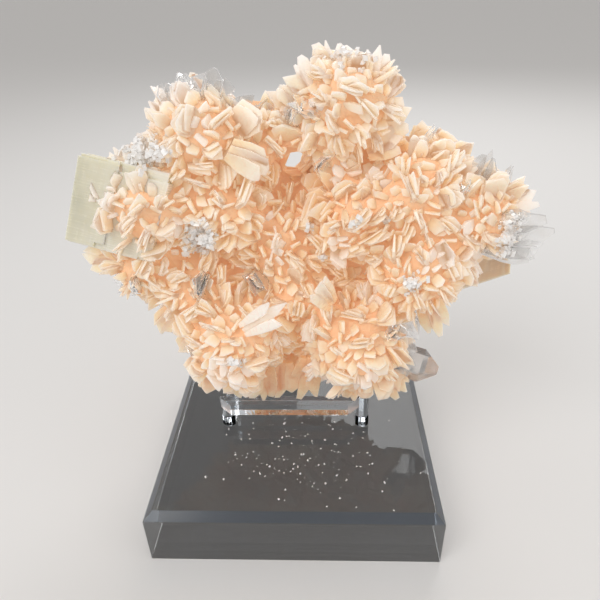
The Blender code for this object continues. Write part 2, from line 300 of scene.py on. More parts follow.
strip("strip_left", "arm_left", ARM_MITRE, ARM_ROUGHNESS, "clear_acrylic")
strip("strip_right", "arm_right", ARM_MITRE, ARM_ROUGHNESS, "clear_acrylic")
ledge = strip("ledge", "ledge_bar", LEDGE_MITRE, LEDGE_ROUGHNESS, "frosted_acrylic")
ledge.data.materials.append(sawn_acrylic())
for face in ledge.data.polygons:
    if abs(face.normal.x) > SAWN_FACING:
        face.material_index = 1


# Blade cluster: one grown mass of thin, pearly zeolite blades that fan out of many centres. The
# blades are apricot at the root and cream to white at the tip, and light passes into them. They
# stand on a rough root mass, and the blades of each burst are joined into one skin.

# Middle and radius of each burst of blades, in mm
BURSTS = {
    "left_top": (-24.4, 6, 119.5, 16.5),
    "left": (-40.5, 2, 100.5, 17.5),
    "left_low": (-46, 3, 81, 13.5),
    "left_centre": (-20, 4, 99, 15),
    "top_right": (15.8, 8, 126.5, 16.5),
    "right_top": (38, 4, 102.5, 15.6),
    "right": (55, 6, 94, 16),
    "right_low": (38.5, 0, 80, 17),
    "bottom_left": (-19, -1, 56, 20),
    "bottom_right": (19.5, -2, 54, 20),
    "recess": (-3, 16, 84, 21),
    "left_inner": (-31.5, 4, 72, 15.5),
    "right_inner": (20, 5, 94, 16),
    "bridge": (-8, 10, 119, 9),
    "middle": (2, 6, 68, 14),
}
# Middle and half sizes of the bodies behind and between them
BACKING = {
    "left": (-27, 14.5, 97, 25, 9, 26),
    "right": (35, 14.5, 92, 27, 9, 25),
    "low": (1, 12, 60, 31, 10, 28),
    "middle": (4, 16, 86.4, 30, 8.5, 20),
    "top": (14, 13, 119, 12, 7, 11),
    "arch": (-6, 12, 122, 20, 5, 6),
    "hole_left": (-5, 8, 113, 4.6, 6, 6),
    "hole_top": (5.4, 8, 116.9, 7, 6, 4.2),
    "hole_right": (12.4, 8, 110.5, 4.6, 6, 5),
    "low_right": (29.5, 7, 68, 8, 6, 7),
}
BACKING_MARGIN = 2
FILL_SHARE = 0.93
CORE_DEPTH = 4.6
MASS_VOXEL = 1.7
# How close together the lumps on the mass are, and how high
MASS_LUMPS = ((0.09, 1.4), (0.4, 0.6))
SPACING_FRONT = 5.2
SPACING_BACK = 8
SIGHT_LENGTH = 60
FAN_TRIES = 9000
FILLER_TRIES = 22000
FILLER_FRONT = 2.5
FILLER_BACK = 4.2
LEDGE_TOP = 29.5
ROOM_BEHIND = 27
ROOM_AT_RODS = 22.5
ROD_REACH = 6
ROD_SPACING = 51
ROD_TOP = 98
REACH_LIMIT = 1.03
CLEAR_SHARE = 0.07
WHITE_ABOVE = 0.36
FAN_SEED = 5
FILLER_SEED = 6
SINGLE_SEED = 7
SHORTEST_RISE = 1.5
FAN_COUNTS = (2, 3, 4, 5)
FAN_FOCUS = (0.93, 3, 0.4)
FAN_JITTER = 0.3
OUTWARD_SHARE = 0.7
SPRAY_SHARE = 0.6
DRIFT_SHARE = 0.8
DRIFT_CLOSENESS = 0.05
TWIST_CLOSENESS = 0.045
TWIST_SHIFT = Vector((40, 0, 0))
FLATTEST_LEAN = 0.2
FAN_WIDTHS = (3.2, 8)
FAN_SPREADS = (9, 17)
FAN_DEPTHS = (3, 5)
FAN_LENGTHS = (4.5, 9.5)
FILLER_LEANS = (15, 62)
FILLER_RISES = (1.6, 4.2)
FILLER_WIDTHS = (2.2, 4.6)
FILLER_DEPTH = 1.5
BLADE_THICKNESSES = (0.8, 1.5)
# Where the photograph was taken from, in mm
CAMERA_PLACE = Vector((9.43, -149.23, 158.19))
# Root, tip, width and thickness of the blades that stand out, and what they look like
SINGLE_BLADES = {
    "crest_1": (12.5, 8, 129, 9.4, 8, 142.8, 5.4, 2.2, "white"),
    "crest_2": (15.7, 7, 129, 13.8, 7, 142.3, 4.8, 2.2, "white"),
    "crest_3": (18.5, 9, 129, 16.9, 9, 140.3, 4.6, 2, "white"),
    "crest_4": (20.2, 6, 128, 19.4, 6, 139.9, 4, 2, "white"),
    "crest_5": (23.1, 8, 127, 24.1, 8, 140.8, 6.4, 2.4, "white"),
    "crest_left": (10.4, 7, 127, 4.2, 7, 139, 6, 2.2, "white"),
    "crest_side": (3.5, 8, 126, -2.8, 8, 131.3, 5, 2, "peach"),
    "crest_gap": (9, 8, 124, 0.3, 8, 134.6, 8, 2.4, "peach"),
    "crest_right": (24.6, 8, 128, 29.8, 8, 134.8, 6, 2.2, "white"),
    "crest_low": (22, 7, 121, 34.2, 7, 123.4, 10, 2.4, "peach"),
    "crest_under": (22, 6, 114, 31.5, 5, 118, 8, 2.4, "peach"),
    "peak": (-23, 5, 122, -18.4, 5, 136.6, 10, 2.4, "clear"),
    "peak_left": (-26.4, 5, 123, -27.8, 5, 134.8, 7, 2.4, "clear"),
    "peak_side": (-29.4, 6, 123, -33.8, 6, 133.4, 5.6, 2.2, "clear"),
    "peak_low": (-31.2, 6, 121, -37.2, 6, 129.3, 5, 2.2, "white"),
    "peak_right": (-15.6, 8, 120, -10.2, 8, 129.6, 6.6, 2.2, "clear"),
    "arch_tip": (-6, 11, 117, -6.8, 11, 127.6, 6.4, 2.4, "clear"),
    "diamond": (-15, -4, 118, -4.7, -4, 112, 8.4, 2.4, "peach"),
    "frost": (-37.4, 0, 107, -41.5, 0, 120.5, 9, 2.6, "white"),
    "frost_low": (-44, 2, 107, -49.6, 2, 117.4, 5, 2.2, "white"),
    "stick": (35, 5, 113, 41.2, 5, 121.2, 2.3, 2, "clear"),
    "shoulder": (38, 4, 107, 42.8, 4, 114.8, 5, 2.2, "peach"),
    "right_peak": (53, 5, 100, 56.8, 5, 113.8, 7.4, 2.2, "clear"),
    "right_stick": (61, 5, 99, 62.6, 5, 110, 2.4, 2, "clear"),
    "right_side": (60, 5, 95, 70.4, 5, 102.4, 7.8, 2.2, "white"),
    "far_right": (56, -1, 90, 76, -1, 91, 13, 2.6, "clear"),
    "right_under": (56, -1, 88, 71.5, -2, 85.4, 8, 2.4, "clear"),
    "low_right_1": (41, 0, 72, 47.2, 0, 54.9, 8, 2.2, "peach"),
    "low_right_2": (28.6, -4, 64.5, 38.5, -4, 52.3, 10.3, 2.4, "clear"),
    "low_right_3": (26, -4, 50, 36.4, -4, 36.6, 10.4, 2.6, "peach"),
    "low_right_4": (27, -2.5, 46, 37.4, -2.5, 33, 9, 2.4, "peach"),
    "low_4": (19.8, -2.5, 46, 22.4, -2.5, 29.8, 9.5, 2.6, "peach"),
    "low_5": (5.1, -2.5, 48, 1.4, -2.5, 30, 9.5, 2.6, "peach"),
    "low_6": (-9.9, -2.5, 46, -11.6, -2.5, 29.9, 9, 2.6, "peach"),
    "low_left_1": (-23.9, -3, 49.8, -30.6, -3, 36, 8, 2.4, "peach"),
    "low_left_2": (-32, -2, 59, -37.4, -2, 49, 7.5, 2.4, "peach"),
    "low_left_3": (-37, 0, 67, -45, 0, 57.5, 7.5, 2.4, "peach"),
    "low_left_8": (-35, 2, 77, -46.6, 1, 67, 9.5, 2.4, "clear"),
    "low_left_4": (-47, 2, 79, -55.8, 2, 71, 7, 2.2, "clear"),
    "low_left_5": (-50, 2, 84.5, -65, 2, 83.4, 9, 2.4, "peach"),
    "low_left_6": (-29, 3, 62, -41.5, 3, 54.4, 7.5, 2.4, "clear"),
    "low_left_7": (-23, 0, 55, -36.2, 0, 45.2, 8.5, 2.4, "peach"),
    "low_7": (-4, -1.5, 46, -4.8, -1.5, 31, 9, 2.6, "peach"),
    "low_8": (-17, -1.5, 46, -21, -1.5, 31, 9, 2.4, "peach"),
    "low_right_0": (33, 4, 68, 40.5, 4, 53.5, 9, 2.4, "clear"),
    "front_left": (-14, -12, 66, -1, -21, 79, 6.5, 2.4, "white"),
    "front_right": (12, -8, 72, 8, -19, 84, 6.5, 2.4, "peach"),
}
# Sight lines that stay open: where each crosses the plane y = 0, and its half width
CLEARINGS = {"hole": (0.6, 112.3, 3.6), "notch": (-9, 135, 6.5), "notch_right": (-3.5, 136, 5)}
RING_WIDTHS = (0.22, 0.46, 0.47)
RING_THICKNESS = (0.5, 0.5, 0.36, 0.1)
CORNERS = ((-1, -1), (1, -1), (1, 1), (-1, 1))
WAIST = 0.45
SHOULDERS = (0.66, 0.88)
TIP_WIDTHS = (0.02, 0.05, 0.1, 0.2)
TIP_SHIFTS = (-0.36, -0.2, 0, 0, 0.2, 0.36)
BLADE_BEND = 0.06
# How the narrow blades that make up one standing blade differ from it
NARROW_BLADE = 6
SPLINTER_TURN = 0.07
SPLINTER_SWAY = 0.03
SPLINTER_TILT = 0.05
SPLINTER_ROLL = 0.35
SPLINTER_STEP = 0.24
SPLINTER_SHORTER = 0.09
SPLINTER_UNEVEN = 0.06
SPLINTER_WIDTHS = (0.46, 0.62)
SPLINTER_THICKNESS = 0.6
SPLINTER_SINK = 0.7
DRIFT_SHIFTS = ((0, 0, 0), (31.4, 17.7, 5.1), (11.9, 43.3, 27.2))


def in_steady_order(mesh):
    # The remesh numbers its points differently from run to run, so they are sorted by place
    places = [tuple(v.co) for v in mesh.vertices]
    order = sorted(range(len(places)), key=lambda v: places[v])
    new_number = {old: new for new, old in enumerate(order)}
    faces = []
    for polygon in mesh.polygons:
        face = [new_number[v] for v in polygon.vertices]
        first = face.index(min(face))
        faces.append(tuple(face[first:] + face[:first]))
    made = bpy.data.meshes.new(mesh.name)
    made.from_pydata([places[v] for v in order], [], sorted(faces))
    return made


def root_mass():
    # Overlapping rounded bodies, melted into one rough skin
    bm = bmesh.new()
    bodies = [(b[:3], (b[3] * FILL_SHARE,) * 3) for b in BURSTS.values()]
    bodies += [(b[:3], [q + BACKING_MARGIN for q in b[3:]]) for b in BACKING.values()]
    for middle, sizes in bodies:
        place = Matrix.Translation(Vector(middle) * MM) @ Matrix.Diagonal((*[q * MM for q in sizes], 1))
        bmesh.ops.create_icosphere(bm, subdivisions=4, radius=1, matrix=place)
    mesh = bpy.data.meshes.new("root_mass")
    bm.to_mesh(mesh)
    bm.free()
    made = bpy.data.objects.new("root_mass", mesh)
    scene.collection.objects.link(made)
    melt = made.modifiers.new("melt", "REMESH")
    melt.mode = "VOXEL"
    melt.voxel_size = MASS_VOXEL * MM
    bake(made)
    made.data = in_steady_order(made.data)
    relax = made.modifiers.new("relax", "SMOOTH")
    relax.factor = 0.7
    relax.iterations = 12
    bake(made)
    normals = [v.normal.copy() for v in made.data.vertices]
    for vertex in made.data.vertices:
        point = vertex.co / MM
        swell = sum(noise.noise(point * closeness) * height for closeness, height in MASS_LUMPS)
        shrink = CORE_DEPTH if normals[vertex.index].y < 0.5 else CORE_DEPTH * 0.5
        vertex.co += normals[vertex.index] * ((swell - shrink) * MM)
    return made


def steady_drift(point):
    # A smoothly changing vector that is the same each run
    return Vector([noise.noise(point + Vector(shift)) for shift in DRIFT_SHIFTS])


def nearest_burst(point):
    # The burst whose own surface is nearest to the point
    return min(BURSTS, key=lambda n: (point - Vector(BURSTS[n][:3])).length / BURSTS[n][3])


def inside_reach(point):
    # Whether any burst or backing body reaches as far as the point
    for x, y, z, radius in BURSTS.values():
        if (point - Vector((x, y, z))).length < radius * REACH_LIMIT:
            return True
    for x, y, z, *halves in BACKING.values():
        offset = point - Vector((x, y, z))
        if sum((away / (half + BACKING_MARGIN)) ** 2 for away, half in zip(offset, halves)) < 1:
            return True
    return False


def in_clearing(point):
    # Whether the point is in the way of a sight line that stays open
    for x, z, half_width in CLEARINGS.values():
        sight = (Vector((x, 0, z)) - CAMERA_PLACE).normalized()
        offset = point - CAMERA_PLACE
        if (offset - sight * offset.dot(sight)).length < half_width:
            return True
    return False


def growth_points(tree, seed, tries, front_gap, back_gap):
    # Evenly spread points on the mass, found by looking in at each body from all round it, closer
    # together at the front than at the back. Each comes with its own seeded random numbers.
    chance = random.Random(seed)
    middles = [Vector(b[:3]) for b in (*BURSTS.values(), *BACKING.values())]
    cells = {}
    for number in range(tries):
        middle = middles[number % len(middles)]
        outward = Vector([chance.gauss(0, 1) for _ in range(3)]).normalized()
        point, normal, *_ = tree.ray_cast(middle + outward * SIGHT_LENGTH, -outward)
        if point is None:
            continue
        gap = front_gap if normal.y < 0.35 else back_gap
        key = tuple(int(c // back_gap) for c in point)
        near = [
            q
            for i in (-1, 0, 1)
            for j in (-1, 0, 1)
            for k in (-1, 0, 1)
            for q in cells.get((key[0] + i, key[1] + j, key[2] + k), ())
        ]
        if any((q - point).length < gap for q in near):
            continue
        cells.setdefault(key, []).append(point)
        yield point, normal, random.Random(seed * 1000003 + number)


def blade_mesh(chance, root, way, flat, length, width, thickness, white):
    # Four sections along a slightly bent spine, closing in a skewed chisel tip
    across = way.cross(flat)
    bend = chance.uniform(-BLADE_BEND, BLADE_BEND) * length
    skew = chance.uniform(-BLADE_BEND, BLADE_BEND) * width
    chisel = chance.choice(TIP_SHIFTS) * width
    shoulder = chance.uniform(*SHOULDERS)
    widths = (*RING_WIDTHS, chance.choice(TIP_WIDTHS))
    points = []
    reaches = []
    sides = []
    for place, half_width, half_thickness in zip((0, WAIST, shoulder, 1), widths, RING_THICKNESS):
        spine = root + way * (length * place)
        spine = spine + flat * (bend * place * place) + across * (skew * place * place)
        if place == 1:
            spine += across * chisel
        for side, face in CORNERS:
            edge = across * (side * half_width * width) + flat * (face * half_thickness * thickness)
            points.append((spine + edge) * MM)
            reaches.append(place)
            sides.append(side * half_width * width)
    faces = []
    # The rims list marks the narrow side faces and the tip end, which get a painted edge highlight
    rims = []
    for ring in range(3):
        for corner in range(4):
            a = 4 * ring + corner
            b = 4 * ring + (corner + 1) % 4
            faces.append((a, b, b + 4, a + 4))
            rims.append(corner % 2)
    last = len(points) - 4
    faces += [(3, 2, 1, 0), (last, last + 1, last + 2, last + 3)]
    rims += [0, 1]
    mesh = bpy.data.meshes.new("blade")
    mesh.from_pydata(points, [], faces)
    tone = chance.uniform(-1, 1)
    corners = [v for face in faces for v in face]
    values = {
        "reach": ("CORNER", [reaches[v] for v in corners]),
        "across": ("CORNER", [sides[v] for v in corners]),
        "tone": ("FACE", [tone] * len(faces)),
        "white": ("FACE", [white] * len(faces)),
        "painted_edge_highlight": ("FACE", rims),
    }
    for name, (domain, numbers) in values.items():
        mesh.attributes.new(name, "FLOAT", domain).data.foreach_set("value", numbers)
    return mesh


def grow(collection, mesh):
    made = bpy.data.objects.new(mesh.name, mesh)
    collection.objects.link(made)


def standing_blade(collection, chance, root, tip, width, thickness, white):
    # One blade that stands out, made of narrower ones side by side, the longest in the middle
    root = Vector(root)
    way = Vector(tip) - root
    length = way.length
    way.normalize()
    view = (CAMERA_PLACE - root).normalized()
    flat = (view - way * view.dot(way)).normalized()
    across = way.cross(flat)
    count = 2 if width < NARROW_BLADE else 3
    for i in range(count):
        step = i - (count - 1) / 2
        angle = step * SPLINTER_TURN + chance.uniform(-SPLINTER_SWAY, SPLINTER_SWAY)
        tilt = flat * chance.uniform(-SPLINTER_TILT, SPLINTER_TILT)
        lean = (way + across * angle + tilt).normalized()
        face = (flat - lean * flat.dot(lean)).normalized()
        face = Matrix.Rotation(chance.uniform(-SPLINTER_ROLL, SPLINTER_ROLL), 3, lean) @ face
        sink = chance.uniform(-0.5, 0.5) * thickness * SPLINTER_SINK
        start = root + across * (step * width * SPLINTER_STEP) + flat * sink
        share = 1 - SPLINTER_SHORTER * abs(step) - chance.uniform(0, SPLINTER_UNEVEN) * (step != 0)
        wide = width * chance.uniform(*SPLINTER_WIDTHS)
        thin = thickness * SPLINTER_THICKNESS
        grow(collection, blade_mesh(chance, start, lean, face, length * share, wide, thin, white))


def new_patch(name):
    made = bpy.data.collections.new(name)
    scene.collection.children.link(made)
    return made


def joined(patch, name):
    # Everything in the patch as one closed skin
    base = patch.objects[0]
    patch.objects.unlink(base)
    scene.collection.objects.link(base)
    join = base.modifiers.new("join", "BOOLEAN")
    join.operation = "UNION"
    join.solver = "MANIFOLD"
    join.operand_type = "COLLECTION"
    join.collection = patch
    bake(base)
    rest = list(patch.objects)
    bpy.data.batch_remove([piece.data for piece in rest] + rest + [patch])
    base.name = name
    return base


def fact(nodes, name):
    made = nodes.new("ShaderNodeAttribute")
    made.attribute_name = name
    return made.outputs["Fac"]


def own_place(nodes, links):
    # Where a point lies on the part, in metres
    split = nodes.new("ShaderNodeSeparateXYZ")
    links.new(nodes.new("ShaderNodeTexCoord").outputs["Object"], split.inputs[0])
    return split.outputs


def blend(nodes, links, share, first, second):
    made = nodes.new("ShaderNodeMix")
    made.data_type = "RGBA"
    for socket, value in ((made.inputs[0], share), (made.inputs[6], first), (made.inputs[7], second)):
        if isinstance(value, (int, float, tuple)):
            socket.default_value = value
        else:
            links.new(value, socket)
    return made.outputs[2]


def shades(nodes, links, share, *stops):
    # A run of colours: each stop is a share and the colour there
    made = nodes.new("ShaderNodeValToRGB")
    ends = made.color_ramp.elements
    ends[0].position, ends[0].color = stops[0]
    ends[1].position, ends[1].color = stops[-1]
    for position, colour in stops[1:-1]:
        ends.new(position).color = colour
    links.new(share, made.inputs["Fac"])
    return made.outputs["Color"]


def let_light_in(shader, weight, depths, scale):
    shader.inputs["Subsurface Weight"].default_value = weight
    shader.inputs["Subsurface Radius"].default_value = depths
    shader.inputs["Subsurface Scale"].default_value = scale * MM


PEACH_GLOW = (0.92, 0.6, 0.36, 1)
GLOW_STRENGTH = 0.11
EVEN_DEPTHS = (1, 1, 0.95)
BLADE_SHADES = (
    (0.05, (0.9, 0.56, 0.34, 1)),
    (0.4, (0.93, 0.7, 0.48, 1)),
    (0.7, (0.95, 0.81, 0.64, 1)),
    (1.0, (0.95, 0.89, 0.77, 1)),
)
WHITE_BLADE = (0.98, 0.93, 0.87, 1)
ROOT_PEACH = (0.9, 0.58, 0.36, 1)
ROCK_SHADES = ((0.35, (0.36, 0.29, 0.24, 1)), (0.65, (0.7, 0.58, 0.47, 1)))
GLASSY_SHADES = ((0.35, (0.97, 0.97, 0.97, 1)), (0.75, (0.9, 0.88, 0.86, 1)))


def blade_material():
    # Paler towards the tip, with patches, specks and streaks; paler towards the top and the front as
    # painted light, and more orange further back as painted shade
    made, nodes, links, shader = new_material("pearly_blades")
    reach = fact(nodes, "reach")
    tone = fact(nodes, "tone")
    patches = cloud(nodes, links, 45)
    specks = cloud(nodes, links, 420)
    total = maths(nodes, links, "MULTIPLY_ADD", reach, 0.5, 0.02)
    total = maths(nodes, links, "MULTIPLY_ADD", patches, 0.9, maths(nodes, links, "ADD", total, -0.25))
    total = maths(nodes, links, "MULTIPLY_ADD", tone, 0.1, total)
    spot = own_place(nodes, links)
    # Painted light: the colour is paler higher up, as if lit from above
    painted_top_light = maths(nodes, links, "MULTIPLY_ADD", spot["Z"], 5, -0.55)
    total = maths(nodes, links, "ADD", total, painted_top_light)
    # Painted light and shade: paler at the front, more orange further back
    total = maths(nodes, links, "MULTIPLY_ADD", spot["Y"], -14, total)
    total = maths(nodes, links, "MULTIPLY_ADD", specks, 0.2, maths(nodes, links, "ADD", total, -0.1))
    peach = shades(nodes, links, total, *BLADE_SHADES)
    place = nodes.new("ShaderNodeCombineXYZ")
    links.new(maths(nodes, links, "MULTIPLY", fact(nodes, "across"), 2.2), place.inputs[0])
    links.new(maths(nodes, links, "MULTIPLY", reach, 0.5), place.inputs[1])
    links.new(maths(nodes, links, "MULTIPLY", tone, 9), place.inputs[2])
    streaks = cloud(nodes, links, 1.6, 4, place.outputs[0])
    white = maths(nodes, links, "MULTIPLY", fact(nodes, "white"), 0.85)
    # Narrow faces and tip ends are made paler: a painted highlight along the blade edges
    pale = maths(nodes, links, "MULTIPLY_ADD", fact(nodes, "painted_edge_highlight"), 0.22, white)
    bright = maths(nodes, links, "MULTIPLY_ADD", streaks, 0.7, -0.25)
    pale = maths(nodes, links, "MAXIMUM", pale, maths(nodes, links, "MULTIPLY", bright, reach))
    links.new(blend(nodes, links, pale, peach, WHITE_BLADE), shader.inputs["Base Color"])
    let_light_in(shader, 1, EVEN_DEPTHS, 2.6)
    # A weak glow stands for the light that many blades scatter between them
    shader.inputs["Emission Color"].default_value = PEACH_GLOW
    shader.inputs["Emission Strength"].default_value = GLOW_STRENGTH
    shader.inputs["IOR"].default_value = 1.5
    links.new(maths(nodes, links, "MULTIPLY_ADD", specks, 0.4, 0.08), shader.inputs["Roughness"])
    bumpy(nodes, links, shader, streaks, 0.35, 0.15)
    return made


def matrix_material():
    # The root mass: the blades' own peach at the front, and rough grey-brown rock at the back
    made, nodes, links, shader = new_material("root_matrix")
    lumps = cloud(nodes, links, 130, 5)
    grains = cloud(nodes, links, 700, 3)
    uneven = maths(nodes, links, "MULTIPLY", lumps, 1.6)
    depth = maths(nodes, links, "MULTIPLY_ADD", own_place(nodes, links)["Y"], 170, uneven)
    share = nodes.new("ShaderNodeMath")
    share.operation = "ADD"
    share.use_clamp = True
    share.inputs[1].default_value = -3.1
    links.new(depth, share.inputs[0])
    share = share.outputs[0]
    rock = shades(nodes, links, grains, *ROCK_SHADES)
    links.new(blend(nodes, links, share, ROOT_PEACH, rock), shader.inputs["Base Color"])
    # A weak painted glow at the front only, as on the blades, stands in for light scattered between them
    links.new(blend(nodes, links, share, PEACH_GLOW, (0, 0, 0, 1)), shader.inputs["Emission Color"])
    shader.inputs["Emission Strength"].default_value = GLOW_STRENGTH
    let_light_in(shader, 0.6, EVEN_DEPTHS, 1)
    shader.inputs["Roughness"].default_value = 0.7
    bumpy(nodes, links, shader, lumps, 0.9, 0.9)
    return made


def glassy_material():
    # Water-clear blades with faint veils
    made, nodes, links, shader = new_material("glassy_blades")
    veil = cloud(nodes, links, 260, 4)
    links.new(shades(nodes, links, veil, *GLASSY_SHADES), shader.inputs["Base Color"])
    shader.inputs["Transmission Weight"].default_value = 0.86
    shader.inputs["IOR"].default_value = 1.5
    links.new(maths(nodes, links, "MULTIPLY", veil, 0.3), shader.inputs["Roughness"])
    return made


def in_white_patch(point):
    return 1 if noise.noise(point * 0.1) > WHITE_ABOVE else 0


def grow_bursts(tree, burst_patches, clear_patch):
    # Fans of blades that share a root, like the pages of an open book
    for point, normal, chance in growth_points(tree, FAN_SEED, FAN_TRIES, SPACING_FRONT, SPACING_BACK):
        name = nearest_burst(point)
        x, y, z, radius = BURSTS[name]
        focus = Vector((x * FAN_FOCUS[0], y + FAN_FOCUS[1], z - radius * FAN_FOCUS[2]))
        spray = (point - focus).normalized()
        drift = steady_drift(point * DRIFT_CLOSENESS)
        jitter = Vector([chance.uniform(-FAN_JITTER, FAN_JITTER) for _ in range(3)])
        way = (normal * OUTWARD_SHARE + spray * SPRAY_SHARE + drift * DRIFT_SHARE + jitter).normalized()
        twist = steady_drift(point * TWIST_CLOSENESS + TWIST_SHIFT)
        axis = way.cross(twist + jitter * 0.4).normalized()
        white = in_white_patch(point)
        patch = clear_patch if chance.random() < CLEAR_SHARE else burst_patches[name]
        count = chance.choice(FAN_COUNTS)
        width = chance.uniform(*FAN_WIDTHS)
        spread = math.radians(chance.uniform(*FAN_SPREADS))
        depth = chance.uniform(*FAN_DEPTHS)
        long = chance.uniform(*FAN_LENGTHS)
        for i in range(count):
            angle = (i - (count - 1) / 2 + chance.uniform(-0.3, 0.3)) * spread
            lean = Matrix.Rotation(angle, 3, axis) @ way
            lean = (lean + axis * chance.uniform(-0.15, 0.15)).normalized()
            flat = axis.cross(lean).normalized()
            if lean.dot(normal) < FLATTEST_LEAN:
                continue
            rise = long * chance.uniform(0.75, 1.05) * (1 - 0.35 * abs(angle))
            shift = axis * chance.uniform(-1, 1)
            plant(patch, chance, point, lean, flat, rise, depth, width, shift, white)


def plant(patch, chance, point, lean, flat, rise, depth, width, shift, white):
    # One blade, cut short where it would reach past the bursts, and left out where light passes
    while rise > SHORTEST_RISE and not inside_reach(point + lean * rise):
        rise -= 0.5
    tip = point + lean * rise
    at_rod = abs(abs(tip.x) - ROD_SPACING / 2) < ROD_REACH and tip.z < ROD_TOP + ROD_REACH / 2
    if tip.y > (ROOM_AT_RODS if at_rod else ROOM_BEHIND) or tip.z < LEDGE_TOP + 1.5:
        return
    if in_clearing(tip) or in_clearing(point):
        return
    start = point - lean * depth + shift
    wide = width * chance.uniform(0.75, 1.1)
    thickness = chance.uniform(*BLADE_THICKNESSES)
    grow(patch, blade_mesh(chance, start, lean, flat, rise + depth, wide, thickness, white))


def grow_fillers(tree, patch):
    # Short blades that close the room between the fans, many with a flat side outward
    for point, normal, chance in growth_points(tree, FILLER_SEED, FILLER_TRIES, FILLER_FRONT, FILLER_BACK):
        jitter = Vector([chance.uniform(-1, 1) for _ in range(3)])
        side = steady_drift(point * 0.06) + jitter * 0.35
        side = (side - normal * side.dot(normal)).normalized()
        lean = math.radians(chance.uniform(*FILLER_LEANS))
        way = normal * math.cos(lean) + side * math.sin(lean)
        flat = normal if chance.random() < 0.7 else normal.cross(side)
        flat = flat + jitter * 0.3
        flat = (flat - way * flat.dot(way)).normalized()
        rise = chance.uniform(*FILLER_RISES)
        width = chance.uniform(*FILLER_WIDTHS)
        plant(patch, chance, point, way, flat, rise, FILLER_DEPTH, width, Vector(), in_white_patch(point))


mass = root_mass()
mass_tree = BVHTree.FromPolygons(
    [v.co / MM for v in mass.data.vertices], [tuple(f.vertices) for f in mass.data.polygons]
)
short_patch = new_patch("short_patch")
clear_patch = new_patch("clear_patch")
burst_patches = {name: new_patch(name) for name in BURSTS}
grow_bursts(mass_tree, burst_patches, clear_patch)
grow_fillers(mass_tree, short_patch)
chance = random.Random(SINGLE_SEED)
for *place, width, thickness, kind in SINGLE_BLADES.values():
    root, tip = place[:3], place[3:]
    patch = clear_patch if kind == "clear" else burst_patches[nearest_burst(Vector(root))]
    standing_blade(patch, chance, root, tip, width, thickness, 1 if kind == "white" else 0)

grown = [mass]
dress(mass, matrix_material(), "peach_blades", "blade_cluster")
pearly = blade_material()
patches = {"burst_" + name: patch for name, patch in burst_patches.items()}
patches["short_blades"] = short_patch
for name, patch in patches.items():
    grown.append(joined(patch, name))
    dress(grown[-1], pearly, "peach_blades", "blade_cluster")
grown.append(joined(clear_patch, "clear_blades"))
dress(grown[-1], glassy_material(), "clear_crystal")


# Calcite rhombs: a large pale yellow-green one on the left and a smaller tan one low on the right.
# Each is a cleavage block grown into the cluster, with thin steps on its broken faces.
PALE_RHOMB = ((-56.3, -2, 117.2), (26, -6, -4.5), (-10.3, 0, -26), (0.3, 15, -6))
TAN_RHOMB = ((68, 5, 74.6), (-19, 3, -9.4), (-1.5, 1, 15), (-2, 12, 2))
# Each rhomb is a corner and its three edges, in mm, and each step on it is given by the shares of
# the three edges where it begins and ends
PALE_STEPS = (
    ((0.02, 0.98), (0.0, 1.0), (0.02, 1.0)),
    ((0.0, 0.34), (0.03, 0.99), (-0.022, 0.9)),
    ((0.34, 0.46), (0.0, 0.93), (-0.036, 0.9)),
    ((0.46, 1.0), (0.1, 0.97), (-0.014, 0.9)),
    ((0.5, 0.86), (0.3, 1.0), (-0.03, 0.9)),
    ((0.04, 0.8), (-0.012, 0.9), (0.2, 1.0)),
    ((-0.012, 0.9), (0.22, 0.9), (0.1, 0.9)),
)
TAN_STEPS = (
    ((0.0, 1.0), (0.0, 1.0), (0.03, 1.0)),
    ((0.1, 0.7), (0.05, 0.8), (-0.02, 0.9)),
    ((0.35, 1.0), (0.3, 1.0), (-0.05, 0.9)),
    ((0.0, 0.5), (0.6, 1.0), (0.0, 0.9)),
)
RHOMB_FACES = ((0, 1, 3, 2), (4, 6, 7, 5), (0, 4, 5, 1), (2, 3, 7, 6), (0, 2, 6, 4), (1, 5, 7, 3))
PALE_SHADES = ((0.1, (0.57, 0.56, 0.45, 1)), (0.42, (0.74, 0.71, 0.57, 1)), (0.8, (0.87, 0.84, 0.73, 1)))
TAN_SHADES = ((0.1, (0.68, 0.5, 0.34, 1)), (0.42, (0.76, 0.58, 0.4, 1)), (0.8, (0.84, 0.7, 0.53, 1)))
CALCITE_DEPTHS = (1, 0.95, 0.8)
CALCITE_IOR = 1.6


def rhomb_step(corner, edges, shares):
    # A skewed block along the rhomb's own edges, with the shares of the edges kept on its corners
    points = []
    places = []
    for k in (0, 1):
        for j in (0, 1):
            for i in (0, 1):
                place = (shares[0][i], shares[1][j], shares[2][k])
                places.append(place)
                points.append(sum((Vector(e) * q for e, q in zip(edges, place)), Vector(corner)) * MM)
    mesh = bpy.data.meshes.new("step")
    mesh.from_pydata(points, [], RHOMB_FACES)
    corners = [v for face in RHOMB_FACES for v in face]
    for edge, name in enumerate(("along", "down")):
        shown = mesh.attributes.new(name, "FLOAT", "CORNER").data
        shown.foreach_set("value", [places[v][edge] for v in corners])
    bm = bmesh.new()
    bm.from_mesh(mesh)
    bmesh.ops.recalc_face_normals(bm, faces=bm.faces)
    bm.to_mesh(mesh)
    bm.free()
    return mesh


